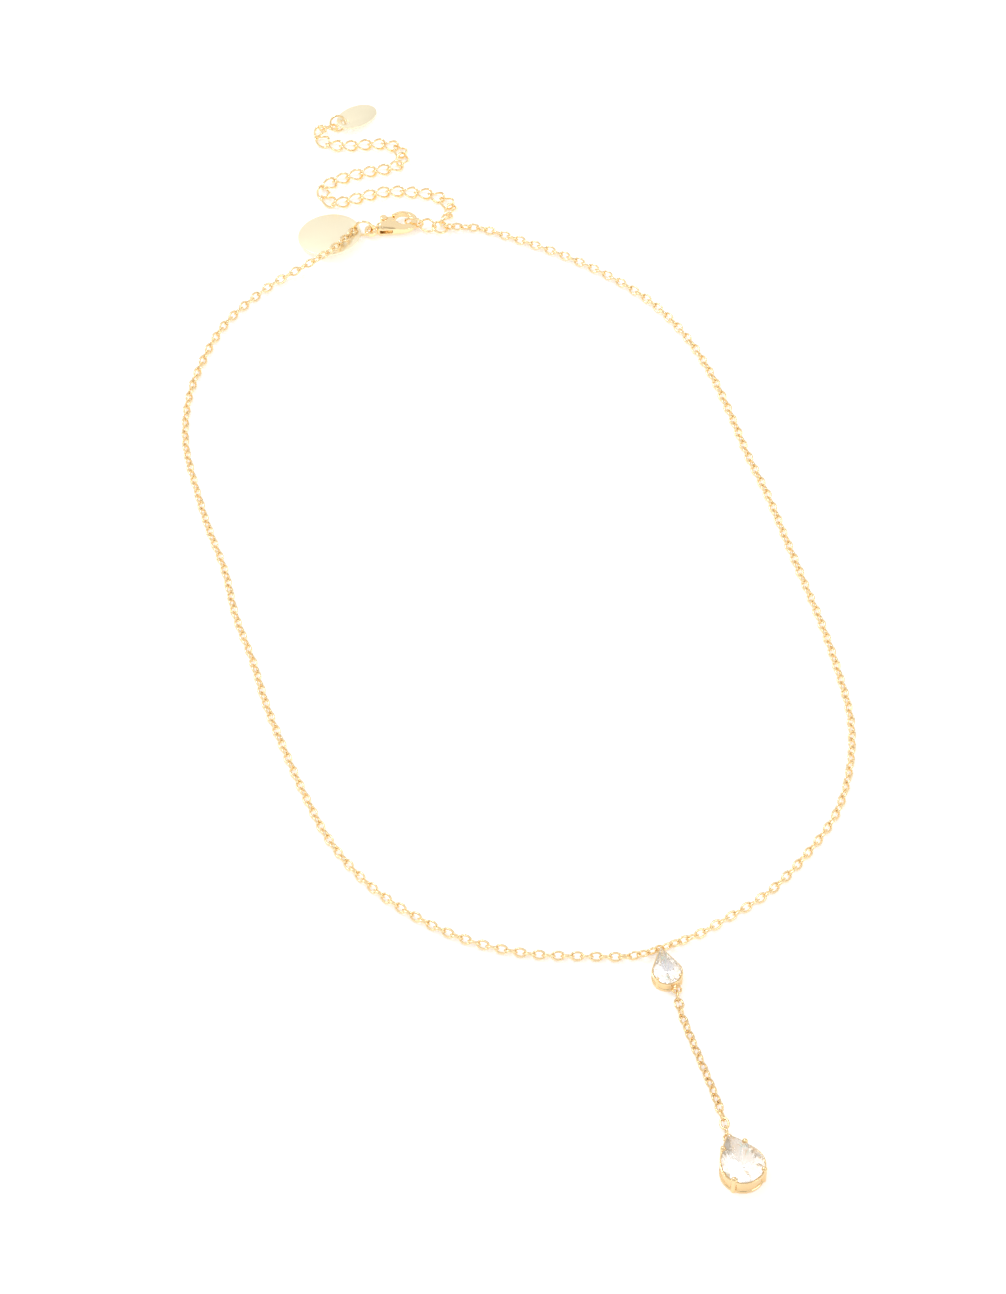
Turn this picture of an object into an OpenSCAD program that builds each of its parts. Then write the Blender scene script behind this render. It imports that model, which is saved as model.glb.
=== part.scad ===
// Y necklace with two pear drops, lying flat and clasped. Millimetres, +Z up, on the surface z = 0.
// X runs to the right and Y away from the viewer; the origin is the bottom centre of the whole piece.

/* [Fine chain] */
// Wire of the fine chain
chain_wire = 0.3; // [0.25:0.01:0.35]
// Distance from one fine link to the next
chain_pitch = 1.4; // [1.3:0.05:1.5]
// Outer width of a fine link
chain_w = 1.6; // [1.5:0.05:1.7]
// Links in the length between the two drops
drop_links = 18; // [14:1:22]
// Play between two interlocked links
link_play = 0.12; // [0.1:0.01:0.2]

/* [Extender] */
// Wire of the extender's links
ext_wire = 0.38; // [0.3:0.01:0.42]
// Distance from one extender link to the next
ext_pitch = 2.4; // [2.3:0.05:2.5]
// Outer width of an extender link
ext_w = 2.5; // [2.3:0.05:2.6]
// Play between two extender links
ext_play = 0.24; // [0.22:0.01:0.3]
// Twist of an extender link, from its middle to each end
ext_twist = 50; // [40:1:55]

/* [Stones] */
// Width of the small stone
small_w = 4; // [3.5:0.1:4.5]
// Length of the small stone
small_l = 6; // [5.5:0.1:7]
// Width of the large stone
large_w = 6; // [5.5:0.1:7]
// Length of the large stone
large_l = 8; // [7.5:0.1:10]
// Crown height of a stone, as a share of its width
crown_share = 0.165; // [0.12:0.005:0.2]
// Pavilion depth of a stone, as a share of its width
pavilion_share = 0.385; // [0.3:0.005:0.42]
// Girdle thickness of a stone
girdle_t = 0.12; // [0.08:0.01:0.2]
// Table of a stone, as a share of its outline
table_share = 0.56; // [0.5:0.01:0.62]

/* [Settings] */
// Wall of a setting beside its stone
wall = 0.34; // [0.32:0.01:0.4]
// Gap between a stone and its setting
stone_gap = 0.06; // [0.04:0.01:0.1]
// Height of a setting's lower rail
rail_h = 0.45; // [0.3:0.05:0.6]
// Depth of the groove between a setting's two rails
groove = 0.2; // [0.1:0.01:0.25]
// Radius of a claw, as a share of its stone's width
claw_share = 0.065; // [0.05:0.005:0.08]
// How far a claw reaches over its stone, as a share of the stone's width
reach_share = 0.05; // [0.03:0.005:0.07]
// Outer diameter of a setting's loop
loop_d = 1.6; // [1.4:0.05:1.8]
// Wire of a setting's loop
loop_wire = 0.34; // [0.28:0.01:0.4]

/* [Rings] */
// Outer diameter of the ring at the clasp's tail
clasp_ring_d = 3.4; // [3.2:0.05:3.6]
// Wire of the ring at the clasp's tail
clasp_ring_wire = 0.45; // [0.35:0.01:0.5]
// Outer diameter of the ring at the extender's start
end_ring_d = 3; // [2.8:0.05:3.4]
// Wire of the ring at the extender's start
end_ring_wire = 0.45; // [0.35:0.01:0.5]
// Outer diameter of the end tag's ring
tag_ring_d = 3; // [2.8:0.05:3.2]
// Wire of the end tag's ring
tag_ring_wire = 0.4; // [0.35:0.01:0.45]

/* [Clasp] */
// Thickness of the clasp's body
clasp_t = 2.2; // [2:0.05:2.4]
// Thickness of the clasp at its nose
nose_t = 1; // [0.9:0.05:1.05]
// Radius of the clasp's round end
clasp_r = 2.3; // [2.2:0.05:2.4]
// Radius of the clasp's eye
eye_r = 1.25; // [1.2:0.01:1.3]
// Distance from the tail hole to the middle of the round end
clasp_l = 5.95; // [5.8:0.05:6.3]
// Radius of the hole in the clasp's tail
tail_hole_r = 0.6; // [0.55:0.01:0.6]
// Radius of the clasp's tail
tail_r = 1.15; // [1.1:0.01:1.2]
// Thickness of the clasp's tail
tail_t = 0.8; // [0.7:0.05:0.85]
// Width of the slot that the lever moves in
slot_w = 0.95; // [0.9:0.01:1.1]
// Gap on each side of the lever in its slot
lever_gap = 0.06; // [0.05:0.01:0.1]
// Radius of the lever's pin
pin_r = 0.25; // [0.2:0.01:0.3]
// Radial play of the lever on its pin
pin_play = 0.05; // [0.03:0.01:0.08]

/* [Tags] */
// Diameter of the round tag
disc_d = 10.7; // [10.2:0.1:11.5]
// Thickness of the round tag
disc_t = 0.35; // [0.3:0.05:0.5]
// Distance from the round tag's edge to the middle of its hole
disc_hole_in = 0.9; // [0.85:0.05:1.1]
// Radius of the round tag's hole
disc_hole_r = 0.6; // [0.55:0.01:0.65]
// Length of the end tag
tag_l = 8.4; // [8:0.1:9]
// Width of the end tag
tag_w = 5; // [4.4:0.1:5.4]
// Thickness of the end tag
tag_t = 0.35; // [0.3:0.05:0.5]
// Radius of the end tag's hole
tag_hole_r = 0.65; // [0.62:0.01:0.7]

/* [Hidden] */
$fn = 48;

gold = [0.93, 0.76, 0.42];
clear = [0.9, 0.95, 1];

// The left strand's points: x, y and the height of the strand's underside above the surface
left_points = [[17.5, -70.5, 0], [11.5, -70.5, 0], [2.5, -70, 0], [-6.5, -67.5, 0], [-14.5, -63, 0],
    [-21.5, -57, 0], [-27, -49.5, 0], [-31, -41, 0], [-34.5, -32, 0], [-37.5, -23.5, 0], [-40, -14.5, 0],
    [-43, -5.5, 0], [-45, 3.5, 0], [-48, 12.5, 0], [-50.5, 21.5, 0], [-52.5, 30.5, 0], [-52.5, 40, 0],
    [-50.5, 49, 0], [-47, 57.5, 0], [-41, 65, 0], [-36.5, 68.5, 0.4], [-32, 71, 1.5], [-29, 73.5, 1.9]];
// The right strand's points, in the same way
right_points = [[28, -66.5, 0], [31, -64.5, 0], [38.5, -59, 0], [44.5, -52, 0], [49.5, -44, 0], [52, -35, 0],
    [52.5, -26, 0], [51, -16.5, 0], [49, -7.5, 0], [46.5, 1.5, 0], [44, 10.5, 0], [41.5, 19.5, 0],
    [38.5, 28.5, 0], [36, 37.5, 0], [33, 46.5, 0], [29, 55, 0], [23.5, 62.5, 0], [16.5, 68.5, 0],
    [8.5, 73.5, 0], [0, 77.5, 0], [-5, 79.5, 0]];
// The extender's points, counted from the middle of the ring that it hangs on
ext_points = [[2, 4, 1], [1.5, 6, 0.8], [-1, 8, 0.7], [-3.5, 8.5, 0.7], [-8.5, 9, 0.7], [-13.5, 7.5, 0.7],
    [-16, 6.5, 0.7], [-18.5, 6, 0.7], [-20, 7.5, 0.7], [-20, 10, 0.7], [-18, 11.5, 0.7], [-13, 13.5, 0.7],
    [-8.5, 14.5, 0.7], [-6.5, 16, 0.7], [-6.5, 18, 0.7], [-8, 20, 0.7], [-10.5, 20.5, 0.7], [-15.5, 20, 0.7],
    [-18.5, 20, 0.7], [-20.5, 21, 0.7], [-21.5, 22.5, 0.8], [-20.5, 24.5, 0.9], [-18.5, 24.5, 0.8]];

// Where the pieces that carry the rest lie, and the way that they point
small_loop_at = [22.1, -69.2];
small_turn = 12;
foot_turn = 17;
large_turn = 22;
large_loop_side = 0.3;
// Way of the fine chain between the drops, by link: degrees from -Y towards +X
drop_turns = [[0, 4], [2, 12], [3, 17], [7, 18], [11, 18], [14, 15], [18, 8]];
tail_at = [-23.3, 78.6];
clasp_turn = 21;

// Round shapes are sampled at these steps where they are meshed
tube_sides = 8;
tube_rings = 40;
link_steps = 16;
wire_sides = 6;
route_steps = 8;
stone_steps = 4;
wall_steps = 8;

// Smooth route through chosen points
function spline(a, b, c, d, t) =
    0.5 * (2 * b + (c - a) * t + (2 * a - 5 * b + 4 * c - d) * t * t + (3 * b - a - 3 * c + d) * t * t * t);
function clamped(list, i) = list[max(0, min(len(list) - 1, i))];
function smooth(list) = concat([for (i = [0 : len(list) - 2]) for (j = [0 : route_steps - 1])
    spline(clamped(list, i - 1), list[i], list[i + 1], clamped(list, i + 2), j / route_steps)],
    [list[len(list) - 1]]);
function lengths(path, i = 0, sum = 0, out = [0]) = i >= len(path) - 1 ? out :
    let (next = sum + norm(path[i + 1] - path[i])) lengths(path, i + 1, next, concat(out, [next]));
function at(path, run, s) = [for (k = [0 : 2]) lookup(s, [for (i = [0 : len(path) - 1]) [run[i], path[i][k]]])];
function unit(v) = v / norm(v);
function turned(v, angle) = [v[0] * cos(angle) - v[1] * sin(angle), v[0] * sin(angle) + v[1] * cos(angle)];
function raised(list, radius) = [for (p = list) [p[0], p[1], p[2] + radius]];

// A round tube along a smooth route
module tube(path, d) {
    run = lengths(path);
    total = run[len(run) - 1];
    middles = [for (i = [0 : tube_rings - 1]) at(path, run, total * i / (tube_rings - 1))];
    rings = [for (i = [0 : tube_rings - 1])
        let (way = unit(clamped(middles, i + 1) - clamped(middles, i - 1)),
            side = unit(cross(way, [0, 0, 1])), up = cross(side, way))
        [for (k = [0 : tube_sides - 1]) let (a = 360 * (k + 0.5) / tube_sides)
            middles[i] + d / 2 * (cos(a) * side + sin(a) * up)]];
    polyhedron([for (ring = rings) each ring], concat(
        [[for (k = [tube_sides - 1 : -1 : 0]) k]],
        [for (i = [0 : tube_rings - 2]) for (k = [0 : tube_sides - 1])
            let (a = i * tube_sides + k, b = i * tube_sides + (k + 1) % tube_sides)
            each [[a, b, b + tube_sides], [a, b + tube_sides, a + tube_sides]]],
        [[for (k = [0 : tube_sides - 1]) (tube_rings - 1) * tube_sides + k]]));
}

// Frame of a link between two joints: x runs from the first to the second, roll turns it about x
module between(a, b, roll = 0) {
    way = b - a;
    translate((a + b) / 2) rotate([0, 0, atan2(way[1], way[0])])
        rotate([0, -atan2(way[2], norm([way[0], way[1]])), 0]) rotate([roll, 0, 0]) children();
}

// Straight-sided link of the fine chain: two half rings joined by two bars
module fine_link() {
    half = (chain_pitch + chain_wire + link_play) / 2;
    r = (chain_w - chain_wire) / 2;
    bar = half - r;
    for (s = [0, 180]) rotate([0, 0, s]) {
        translate([bar, 0, 0]) rotate([0, 0, -90]) rotate_extrude(angle = 180)
            translate([r, 0]) circle(d = chain_wire);
        translate([-bar, r, 0]) rotate([0, 90, 0]) cylinder(d = chain_wire, h = 2 * bar);
    }
}

// Oval link of the extender, swept along a ring; twist turns its two ends opposite ways
module oval_link(twist) {
    a = (ext_pitch + ext_wire + ext_play) / 2;
    b = (ext_w - ext_wire) / 2;
    square_off = 0.85;
    middles = [for (i = [0 : link_steps - 1])
        let (t = 360 * i / link_steps, c = cos(t), s = sin(t),
            x = a * sign(c) * pow(abs(c), square_off), y = b * sign(s) * pow(abs(s), square_off),
            w = twist * x / a)
        [x, y * cos(w), y * sin(w)]];
    rings = [for (i = [0 : link_steps - 1])
        let (way = unit(middles[(i + 1) % link_steps] - middles[(i + link_steps - 1) % link_steps]),
            out = unit(middles[i] - (middles[i] * way) * way), up = cross(way, out))
        [for (k = [0 : wire_sides - 1]) let (v = 360 * k / wire_sides)
            middles[i] + ext_wire / 2 * (cos(v) * out + sin(v) * up)]];
    polyhedron([for (ring = rings) each ring],
        [for (i = [0 : link_steps - 1]) for (k = [0 : wire_sides - 1])
            let (m = i * wire_sides, n = (i + 1) % link_steps * wire_sides, l = (k + 1) % wire_sides)
            each [[m + k, n + l, m + l], [m + k, n + k, n + l]]]);
}

// Closed round ring of wire in the plane z = 0
module wire_ring(d, wire) {
    rotate_extrude() translate([(d - wire) / 2, 0]) circle(d = wire, $fn = 24);
}

// Outline of a pear, grown by off: a round end about the origin and two long arcs that meet in a tip on +y
shoulder = 29;
function tip_y(w, l) = l - w / 2;
function arc_back(w, l) = (pow(tip_y(w, l), 2) - pow(w / 2, 2)) / (2 * (w / 2 - tip_y(w, l) * sin(shoulder)));
function side_arc(w, l, off, steps) = let (k = arc_back(w, l), r = w / 2 + k + off,
        c = -k * [cos(shoulder), sin(shoulder)], top = acos(-c[0] / r))
    [for (i = [0 : steps]) let (a = shoulder + (top - shoulder) * i / steps) c + r * [cos(a), sin(a)]];
function round_arc(w, off, steps) = let (n = 2 * steps)
    [for (i = [1 : n - 1]) let (a = 180 - shoulder + (180 + 2 * shoulder) * i / n)
        (w / 2 + off) * [cos(a), sin(a)]];
function pear(w, l, off, steps) = let (side = side_arc(w, l, off, steps))
    concat([for (i = [steps : -1 : 0]) [-side[i][0], side[i][1]]], round_arc(w, off, steps),
        [for (i = [0 : steps - 1]) side[i]]);
module pear_plate(w, l, off, low, high) {
    translate([0, 0, low]) linear_extrude(high - low) polygon(pear(w, l, off, wall_steps));
}

// Heights of a stone in its setting
function girdle_z(w) = pavilion_share * w + 0.2 + girdle_t;
function crown_h(w) = crown_share * w;

// Cut stone: a table, stars, kites and girdle facets above, mains and lower facets below
module stone(w, l) {
    rim = pear(w, l, 0, stone_steps);
    n = len(rim);
    pairs = n / 2;
    middle = [0, 0.15 * (l - w)];
    star_share = 0.8;
    lower_share = 0.28;
    lean = cos(180 / pairs);
    g = girdle_z(w);
    top = crown_h(w);
    deep = pavilion_share * w;
    star_z = top * (1 - star_share * lean) / (1 - table_share);
    function level(list, share, z) = [for (p = list) let (q = middle + share * (p - middle)) [q[0], q[1], z]];
    mains = [for (i = [0 : 2 : n - 2]) rim[i]];
    halves = [for (i = [1 : 2 : n - 1]) rim[i]];
    points = concat(level(rim, 1, g), level(rim, 1, g - girdle_t), level(mains, table_share, g + top),
        level(halves, star_share, g + star_z), level(halves, lower_share, g - girdle_t - deep * (1 - lower_share * lean)),
        [[middle[0], middle[1], g - girdle_t - deep]]);
    low = n;
    table = 2 * n;
    star = table + pairs;
    foot = star + pairs;
    culet = foot + pairs;
    polyhedron(points, concat([[for (j = [0 : pairs - 1]) table + pairs - 1 - j]],
        [for (j = [0 : pairs - 1]) let (k = (j + 1) % pairs, p = (j + pairs - 1) % pairs, m = 2 * j, h = 2 * j + 1,
                e = (2 * j + 2) % n)
            each [[table + j, table + k, star + j], [table + j, star + j, m], [table + j, m, star + p],
                [star + j, h, m], [star + j, e, h], [m, h, low + h], [m, low + h, low + m],
                [h, e, low + e], [h, low + e, low + h], [foot + j, low + m, low + h], [foot + j, low + h, low + e],
                [culet, low + m, foot + j], [culet, foot + p, low + m]]]));
}

// Radius of a claw and how far its middle stands outside the stone
function claw_r(w) = claw_share * w + 0.06;
// Distance from the middle of the round end to the middle of the loop at the tip
function loop_y(w, l) = tip_y(w, l) + 1.4 * (wall - groove) + loop_d / 2 - loop_wire / 3;
// Distance from the middle of the round end to the middle of a loop beside it
function foot_loop_far(w) = w / 2 + wall - groove + loop_d / 2 - loop_wire / 3;

// Setting: two rails with a groove between, a seat for the stone, claws, and a loop at the tip
module setting(w, l, claws, loops) {
    g = girdle_z(w);
    seat_z = g - girdle_t - 0.3;
    r = claw_r(w);
    reach = reach_share * w;
    clear_z = g + reach * crown_share / (0.5 * (1 - table_share)) + 2 * stone_gap;
    loop_z = chain_w / 2;
    difference() {
        union() {
            pear_plate(w, l, wall - groove, 0, g);
            pear_plate(w, l, wall, 0, rail_h);
            pear_plate(w, l, wall, seat_z - 0.1, g);
            for (a = claws, side = [-1, 1]) let (p = claw_point(w, l, a, side)) {
                translate([p[0], p[1], 0]) cylinder(r = r * 0.9, h = clear_z);
                translate([p[0], p[1], clear_z]) sphere(r = r);
            }
        }
        pear_plate(w, l, -0.22, -1, seat_z + 0.01);
        pear_plate(w, l, stone_gap, seat_z, clear_z);
    }
    for (p = loops) translate([p[0], p[1], loop_z]) wire_ring(loop_d, loop_wire);
}

// A claw's middle stands outside the stone's outline, at angle a above the width line of the round end;
// side is 1 for the right claw of a pair and -1 for the left one
function claw_point(w, l, a, side) = let (grow = claw_r(w) - reach_share * w, r = w / 2, k = arc_back(w, l),
        c = -k * [cos(shoulder), sin(shoulder)], u = [cos(a), sin(a)],
        far = a <= shoulder ? r + grow : u * c + sqrt(pow(u * c, 2) - c * c + pow(r + k + grow, 2)))
    far * [side * u[0], u[1]];

// Places of the two drops: each is carried by the loop above it
function down(turn) = [sin(turn), -cos(turn)];
function drop_turn(i) = lookup(i, drop_turns);
loop_r = (loop_d - loop_wire) / 2;
small_at = small_loop_at - turned([0, loop_y(small_w, small_l)], small_turn);
foot_loop = turned([0, -foot_loop_far(small_w)], foot_turn);
small_foot = small_at + turned(foot_loop, small_turn);
loop_hang = loop_r - loop_wire / 2 - link_play / 2;
drop_start = small_foot + loop_hang * down(drop_turn(0));
drop_slack = 0.03;
function drop_joint(i) = i == 0 ? drop_start
    : drop_joint(i - 1) + (chain_pitch + drop_slack) * down(drop_turn(i - 1));
large_loop_at = drop_joint(drop_links) + loop_hang * down(drop_turn(drop_links));
large_loop = [large_loop_side, loop_y(large_w, large_l) - large_loop_side / 2];
large_at = large_loop_at - turned(large_loop, large_turn);
module small_frame() { translate([small_at[0], small_at[1], 0]) rotate([0, 0, small_turn]) children(); }
module large_frame() { translate([large_at[0], large_at[1], 0]) rotate([0, 0, large_turn]) children(); }

// Clasp: places in its own frame, x from the tail hole to the nose, y to the lever's side
mid_z = clasp_t / 2;
eye_at = [clasp_l - 0.25, 0.1];
heel_at = [1.75, -0.15];
heel_r = 0.9;
pivot = [2, -0.1];
gate_r = 3;
hub_r = 0.65;
slot_start = pivot[0] - hub_r - 0.1;
lever_t = slot_w - 2 * lever_gap;
module clasp_frame() { translate([tail_at[0], tail_at[1], 0]) rotate([0, 0, clasp_turn]) children(); }
function clasp_to_part(p) = tail_at + turned(p, clasp_turn);

// Teardrop that holds the clasp's round end and its heel
function teardrop(big_at, big_r, small_at, small_r) = let (way = small_at - big_at, f = atan2(way[1], way[0]),
        b = acos((big_r - small_r) / norm(way)), n = 12)
    concat([for (i = [0 : n]) let (a = f + b + (360 - 2 * b) * i / n) big_at + big_r * [cos(a), sin(a)]],
        [for (i = [0 : n]) let (a = f - b + 2 * b * i / n) small_at + small_r * [cos(a), sin(a)]]);

// Side outline of the clasp's body, thinner towards the nose
module side_wedge() {
    far = clasp_l + clasp_r + 1;
    bend = heel_at[0] + 2;
    translate([0, 2 * clasp_r, mid_z]) rotate([90, 0, 0]) linear_extrude(4 * clasp_r)
        polygon([[-tail_r, -clasp_t / 2], [bend, -clasp_t / 2], [clasp_l + 1, -nose_t / 2], [far, -nose_t / 2],
            [far, nose_t / 2], [clasp_l + 1, nose_t / 2], [bend, clasp_t / 2], [-tail_r, clasp_t / 2]]);
}

module clasp_body() {
    color(gold) clasp_frame() {
        difference() {
            intersection() {
                linear_extrude(clasp_t) polygon(teardrop([clasp_l, 0], clasp_r, heel_at, heel_r));
                side_wedge();
            }
            translate([eye_at[0], eye_at[1], -1]) cylinder(r = eye_r, h = clasp_t + 2);
            // Room for the lever above the cheeks, round about its pin
            translate([0, 0, -1]) linear_extrude(clasp_t + 2) intersection() {
                translate(pivot) circle(r = gate_r);
                polygon([[0, 0.9], [heel_at[0], 0.55], [eye_at[0] - 0.6, -0.55], [6, 1], [6, 4], [0, 4]]);
            }
            // Slot for the lever, open through the heel
            translate([0, 0, mid_z - slot_w / 2]) linear_extrude(slot_w) intersection() {
                translate(pivot) circle(r = gate_r);
                polygon([[slot_start, -3], [3.3, -3], [3.3, -1.1], [6, -1.1], [6, 4], [slot_start, 4]]);
            }
        }
        translate([pivot[0], pivot[1], 0.15]) cylinder(r = pin_r, h = clasp_t - 0.3);
        translate([0, 0, mid_z - tail_t / 2]) difference() {
            cylinder(r = tail_r, h = tail_t);
            translate([0, 0, -1]) cylinder(r = tail_hole_r, h = tail_t + 2);
        }
    }
}

module clasp_lever() {
    tip_r = gate_r - 0.1;
    low = 22;
    high = 40;
    knob_r = 0.62;
    knob_at = [0.8, 1.72];
    knob_t = clasp_t - 0.5;
    color(gold) clasp_frame() translate([pivot[0], pivot[1], mid_z]) difference() {
        union() {
            translate([0, 0, -lever_t / 2]) {
                cylinder(r = hub_r, h = lever_t);
                linear_extrude(lever_t) polygon(concat([[-0.5, 0.3], [0.1, -0.5]],
                    [for (a = [low : 3 : high]) tip_r * [cos(a), sin(a)]], [knob_at + [0.3, 0.4], knob_at]));
            }
            translate([knob_at[0], knob_at[1], -knob_t / 2]) cylinder(r = knob_r, h = knob_t);
        }
        translate([0, 0, -clasp_t]) cylinder(r = pin_r + pin_play, h = 2 * clasp_t);
    }
}

// The ring at the tail stands on edge, leans back, and passes through the tail's hole
lean_back = 4;
clasp_ring_shift = 0.18;
clasp_ring_r = (clasp_ring_d - clasp_ring_wire) / 2;
clasp_ring_z = clasp_ring_r * cos(lean_back) + clasp_ring_wire / 2;
clasp_ring_at = tail_at - [clasp_ring_r - clasp_ring_shift, 0];
module clasp_ring() {
    color(gold) translate([clasp_ring_at[0], clasp_ring_at[1], clasp_ring_z]) rotate([90 - lean_back, 0, 0])
        wire_ring(clasp_ring_d, clasp_ring_wire);
}

// The round tag hangs on the ring by its hole; the far part of its edge lies on the surface
disc_hole_at = disc_d / 2 - disc_hole_in;
disc_turn = 190;
disc_low_turn = 130;
hang = 0.5;
disc_hole = clasp_ring_at - [sqrt(pow(clasp_ring_r, 2) - pow(hang, 2)), 0];
disc_hole_z = clasp_ring_z - hang;
disc_tilt = asin((disc_hole_z - disc_t / 2) / (disc_d / 2 + disc_hole_at * cos(disc_turn - disc_low_turn)));
module disc_tag() {
    color(gold) translate([disc_hole[0], disc_hole[1], disc_hole_z]) rotate([0, 0, disc_low_turn])
        rotate([0, disc_tilt, 0]) rotate([0, 0, disc_turn - disc_low_turn])
        translate([disc_hole_at, 0, -disc_t / 2]) difference() {
            cylinder(d = disc_d, h = disc_t, $fn = 96);
            translate([-disc_hole_at, 0, -1]) cylinder(r = disc_hole_r, h = disc_t + 2);
        }
}

// The clasp's hook holds two links, and those hold the ring where the right strand and the extender start
link_half = (ext_pitch + ext_wire + ext_play) / 2;
hook_slack = 0.68;
hook_way = turned([1, 0], -10);
hook_inner = clasp_to_part([eye_at[0] + eye_r - ext_wire / 2 - hook_slack, -0.15]);
hook_joint = hook_inner + (link_half - ext_pitch / 2) * hook_way;
first_joint = hook_joint + ext_pitch * hook_way;
second_joint = first_joint + ext_pitch * turned([1, 0], -20);
hook_z = ext_w / 2;
end_ring_r = (end_ring_d - end_ring_wire) / 2;
wire_gap = 0.15;
function hung(ring_r, wire, play) = ring_r - wire / 2 - wire_gap + play / 2;
end_ring_at = second_joint + hung(end_ring_r, end_ring_wire, ext_play) * turned([1, 0], 5);
end_ring_z = chain_w / 2 + 0.3;
end_ring_tilt = 8;
module hook_links() {
    color(gold) {
        between([hook_joint[0], hook_joint[1], hook_z], [first_joint[0], first_joint[1], hook_z], 90)
            oval_link(0);
        between([first_joint[0], first_joint[1], hook_z], [second_joint[0], second_joint[1], end_ring_z + 0.15], 45)
            oval_link(45);
    }
}
module end_ring() {
    color(gold) translate([end_ring_at[0], end_ring_at[1], end_ring_z]) rotate([0, end_ring_tilt, 0])
        wire_ring(end_ring_d, end_ring_wire);
}

// Routes of the chains, from wire to wire, with room for the ring or loop at each end
function lifted(p, z) = [p[0], p[1], z];
end_ring_top = lifted(end_ring_at + hung(end_ring_r, end_ring_wire, ext_play) * turned([1, 0], 80), end_ring_z);
ext_last = ext_points[len(ext_points) - 1];
ext_path = smooth(concat([end_ring_top], [for (p = ext_points) p + lifted(end_ring_at, 0)]));
ext_run = lengths(ext_path);
ext_links = round(ext_run[len(ext_run) - 1] / ext_pitch);
ext_end = end_ring_at + [ext_last[0], ext_last[1]];
start_roll = -40;
easing = 13;
end_roll = -40;
module extender_chain() {
    step = ext_run[len(ext_run) - 1] / ext_links;
    color(gold) for (i = [0 : ext_links - 1])
        between(at(ext_path, ext_run, i * step), at(ext_path, ext_run, (i + 1) * step),
            min(0, start_roll + easing * i) + min(0, end_roll + easing * (ext_links - 1 - i))) oval_link(ext_twist);
}

// The end tag's ring leans between the last link and the tag's hole
tag_ring_r = (tag_ring_d - tag_ring_wire) / 2;
tag_lean = 45;
tag_link_turn = 240;
tag_hole_turn = 4;
tag_turn = 45;
tag_ring_z = tag_ring_r * sin(tag_lean) + tag_ring_wire / 2;
function on_tag_ring(a, r) = r * [cos(a), sin(a) * cos(tag_lean), sin(a) * sin(tag_lean)];
tag_ring_at = lifted(ext_end, tag_ring_z)
    - lifted(on_tag_ring(tag_link_turn, hung(tag_ring_r, tag_ring_wire, ext_play)), 0);
tag_hole = tag_ring_at + on_tag_ring(tag_hole_turn, tag_ring_r);
tag_inset = 1.5;
tag_tilt = asin((tag_hole[2] - tag_t / 2) / (tag_l - tag_inset));
module tag_ring() {
    color(gold) translate(tag_ring_at) rotate([tag_lean, 0, 0]) wire_ring(tag_ring_d, tag_ring_wire);
}
module end_tag() {
    color(gold) translate(tag_hole) rotate([0, tag_tilt, tag_turn])
        translate([0, 0, -tag_t / 2]) difference() {
            translate([tag_l / 2 - tag_inset, 0, 0]) linear_extrude(tag_t)
                polygon([for (a = [0 : 7.5 : 352.5]) [tag_l / 2 * cos(a), tag_w / 2 * sin(a)]]);
            translate([0, 0, -1]) cylinder(r = tag_hole_r, h = tag_t + 2);
        }
}

// The two strands of the neck chain
strand_gap = 0.25;
small_loop = lifted(small_loop_at, chain_w / 2);
function from_loop(toward) = let (way = unit(lifted(toward, 0) - lifted(small_loop_at, 0)))
    small_loop + (loop_d / 2 + strand_gap) * way;
clasp_ring_left = [clasp_ring_at[0] - clasp_ring_r, clasp_ring_at[1], clasp_ring_z];
left_end = clasp_ring_left + [-0.8, -1.8, 0.8];
left_path = smooth(concat([from_loop(left_points[0])], raised(left_points, chain_w / 2), [left_end]));
end_ring_right = lifted(end_ring_at + (end_ring_r + end_ring_wire / 2 + strand_gap) * turned([1, 0], 16), chain_w / 2);
right_path = smooth(concat([from_loop(right_points[0])], raised(right_points, chain_w / 2), [end_ring_right]));
module chain_left() { color(gold) tube(left_path, chain_w); }
module chain_right() { color(gold) tube(right_path, chain_w); }

// The fine chain between the drops turns slowly, so that each end crosses its flat loop
module drop_chain() {
    function joint(i) = lifted(drop_joint(i), chain_w / 2);
    color(gold) for (i = [0 : drop_links - 1])
        between(joint(i), joint(i + 1), 90 * (1 - i / (drop_links - 1)) - 90 * (i % 2)) fine_link();
}

small_claws = [-35];
large_claws = [62, -42];
module setting_small() {
    color(gold) small_frame() setting(small_w, small_l, small_claws,
        [[0, loop_y(small_w, small_l)], foot_loop]);
}
module stone_small() { color(clear) small_frame() stone(small_w, small_l); }
module setting_large() {
    color(gold) large_frame() setting(large_w, large_l, large_claws, [large_loop]);
}
module stone_large() { color(clear) large_frame() stone(large_w, large_l); }

chain_left();
chain_right();
drop_chain();
extender_chain();
hook_links();
setting_small();
stone_small();
setting_large();
stone_large();
clasp_body();
clasp_lever();
clasp_ring();
end_ring();
disc_tag();
tag_ring();
end_tag();
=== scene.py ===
import math
import random

import bmesh
import bpy
from bpy.props import FloatProperty, FloatVectorProperty, IntProperty, PointerProperty
from mathutils import Matrix, Vector


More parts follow.
